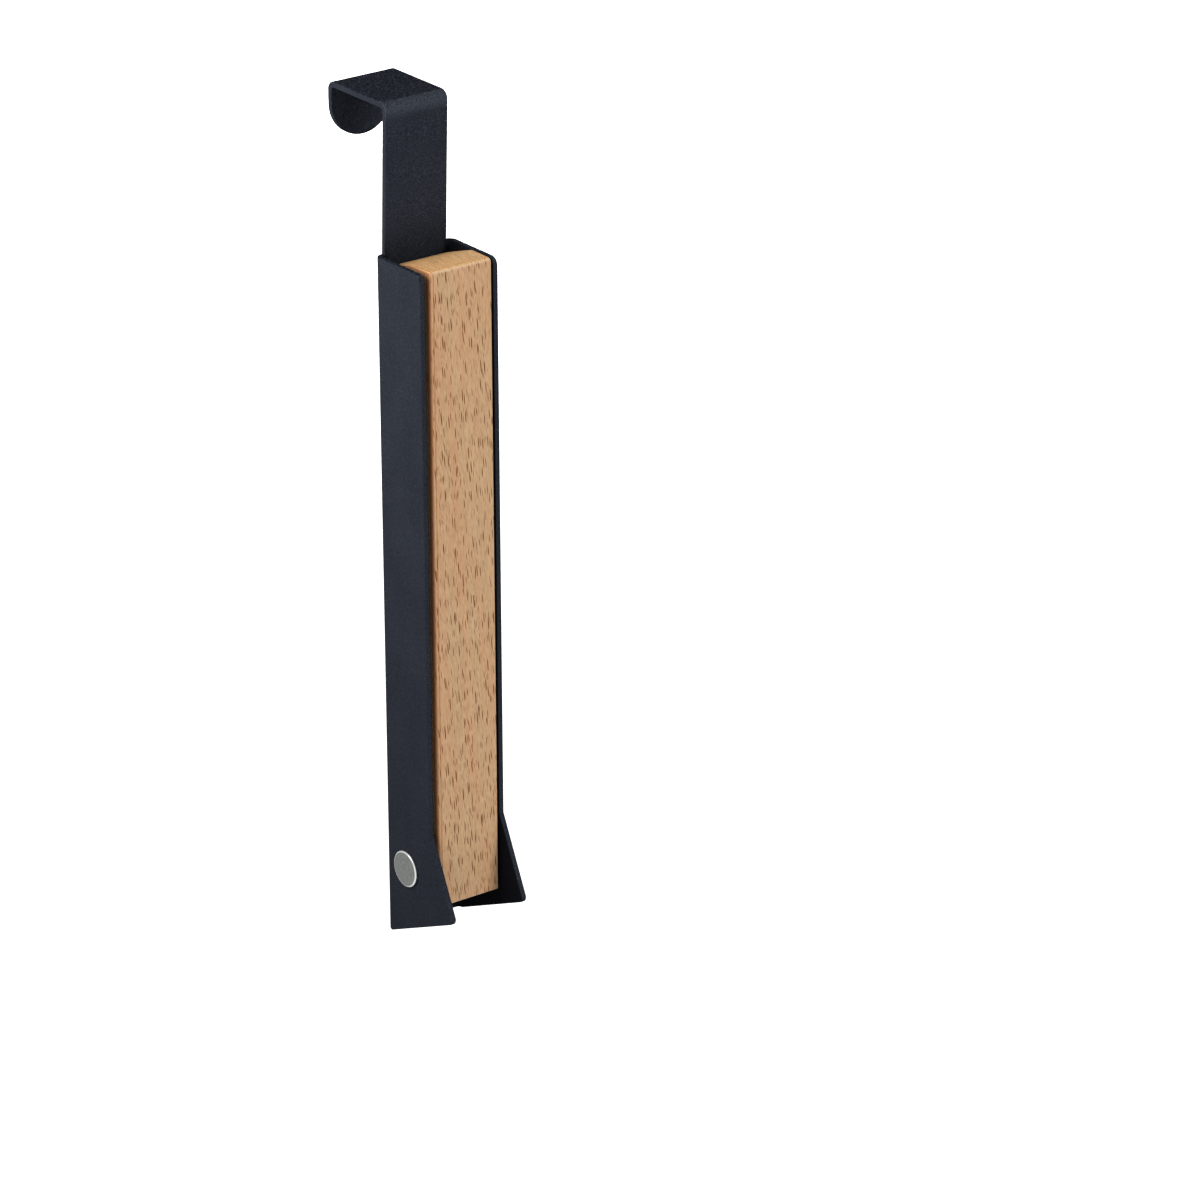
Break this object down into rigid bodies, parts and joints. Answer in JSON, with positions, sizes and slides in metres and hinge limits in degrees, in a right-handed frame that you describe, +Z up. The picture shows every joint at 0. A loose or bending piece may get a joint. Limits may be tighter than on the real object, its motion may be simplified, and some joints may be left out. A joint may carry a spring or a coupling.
{
  "type": "over-the-door hanger with folding arm",
  "caption": "Folded steel door hanger: a strip hooks over the door's top and widens into a channel, from which a notched beech arm swings down to hold clothes hangers.",
  "frame": {"origin": "middle of the hook's underside, where it rests on the door's top edge, half-way through the door's thickness", "axes": "+X across the door to the right for someone facing the hanger, +Y from the room into the door, +Z up"},
  "size_m": [0.034, 0.0685, 0.2975],
  "materials": {
    "powder_coat": "fine-textured matt powder coat, near black with a cool cast",
    "beech": "sanded and oiled beech with short dark flecks",
    "magnet_plating": "satin nickel plating",
    "pivot_steel": "satin steel face with a bright turned rim"
  },
  "bodies": {
    "bracket": {"door_bracket": "powder_coat", "pivot_sleeve": "pivot_steel", "pivot_screw": "pivot_steel"},
    "arm": {"beech_arm": "beech", "catch_magnet": "magnet_plating"}
  },
  "joints": [
    {"name": "arm_fold", "type": "hinge", "parent": "bracket", "child": "arm", "pos_m": [0, -0.02695, -0.2682], "axis": [1, 0, 0], "range_deg": [0, 90]}
  ]
}
